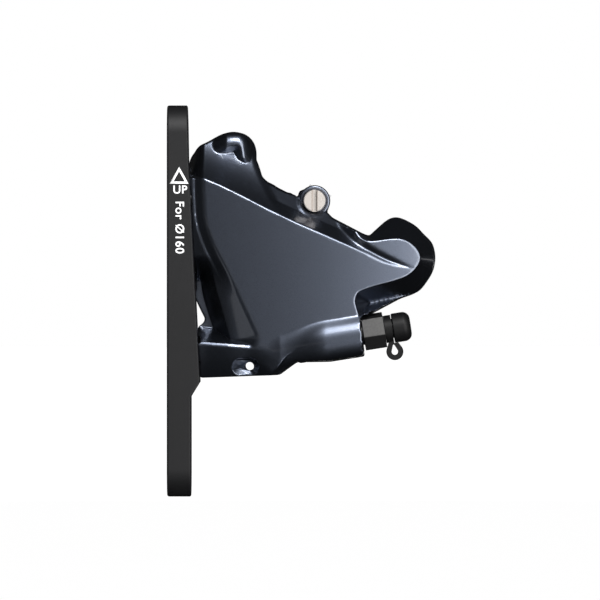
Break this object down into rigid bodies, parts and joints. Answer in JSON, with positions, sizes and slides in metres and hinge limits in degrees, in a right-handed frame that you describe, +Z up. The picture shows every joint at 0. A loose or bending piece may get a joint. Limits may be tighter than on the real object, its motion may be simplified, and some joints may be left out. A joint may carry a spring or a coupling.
{
  "type": "bicycle disc brake caliper",
  "caption": "Flat-mount hydraulic disc brake caliper for a bicycle's front fork, with opposed pistons, pads and bleed nipple, on its wedge-shaped adapter plate.",
  "frame": {"origin": "middle of the adapter plate's face that lies on the fork", "axes": "+Z up along the fork blade, +X away from the fork, -Y towards the outer side of the bicycle, +Y towards the rotor"},
  "size_m": [0.0584, 0.0413, 0.085],
  "materials": {
    "plate": "black anodised aluminium, fine satin",
    "housing_paint": "dark blue-grey metallic paint, semi-gloss",
    "dark_steel": "black zinc plating",
    "seal_rubber": "smooth",
    "piston_ceramic": "ground, off-white",
    "pad_steel": "stamped, satin",
    "pad_lining": "moulded resin compound",
    "spring_steel": "bright spring steel",
    "stainless": "turned stainless steel",
    "nipple_steel": "black zinc plating, worn",
    "cap_rubber": "moulded, semi-matt"
  },
  "bodies": {
    "caliper": {"mount_bracket": "plate", "bracket_bolts": "dark_steel", "outer_body": "housing_paint", "inner_body": "housing_paint", "body_bolts": "dark_steel", "crossover_seal": "seal_rubber", "outer_piston_seal": "seal_rubber", "inner_piston_seal": "seal_rubber", "pad_spring": "spring_steel", "pad_axle": "stainless", "pad_axle_clip": "spring_steel"},
    "outer_piston": {"outer_piston": "piston_ceramic"},
    "inner_piston": {"inner_piston": "piston_ceramic"},
    "outer_pad": {"outer_pad_plate": "pad_steel", "outer_pad_lining": "pad_lining"},
    "inner_pad": {"inner_pad_plate": "pad_steel", "inner_pad_lining": "pad_lining"},
    "nipple": {"bleed_nipple": "nipple_steel", "bleed_cap_strap": "cap_rubber"},
    "cap": {"bleed_cap": "cap_rubber"}
  },
  "joints": [
    {"name": "outer_piston_slide", "type": "slide", "parent": "caliper", "child": "outer_piston", "axis": [0, 1, 0], "range_m": [0, 0.0012], "deforming": ["pad_spring"]},
    {"name": "inner_piston_slide", "type": "slide", "parent": "caliper", "child": "inner_piston", "axis": [0, -1, 0], "range_m": [0, 0.0012]},
    {"name": "outer_pad_slide", "type": "slide", "parent": "caliper", "child": "outer_pad", "axis": [0, 1, 0], "range_m": [0, 0.0012]},
    {"name": "inner_pad_slide", "type": "slide", "parent": "caliper", "child": "inner_pad", "axis": [0, -1, 0], "range_m": [0, 0.0012]},
    {"name": "bleed_nipple_turn", "type": "hinge", "parent": "caliper", "child": "nipple", "pos_m": [0.0423, -0.00045, -0.007], "axis": [0.9877, 0, 0.1564], "range_deg": [0, 90]},
    {"name": "bleed_cap_pull", "type": "slide", "parent": "nipple", "child": "cap", "axis": [0.9877, 0, 0.1564], "range_m": [0, 0.006], "deforming": ["bleed_cap_strap"]}
  ],
  "couplings": [
    {"joint": "inner_piston_slide", "follows": "outer_piston_slide", "ratio": 1},
    {"joint": "outer_pad_slide", "follows": "outer_piston_slide", "ratio": 1},
    {"joint": "inner_pad_slide", "follows": "outer_piston_slide", "ratio": 1}
  ]
}
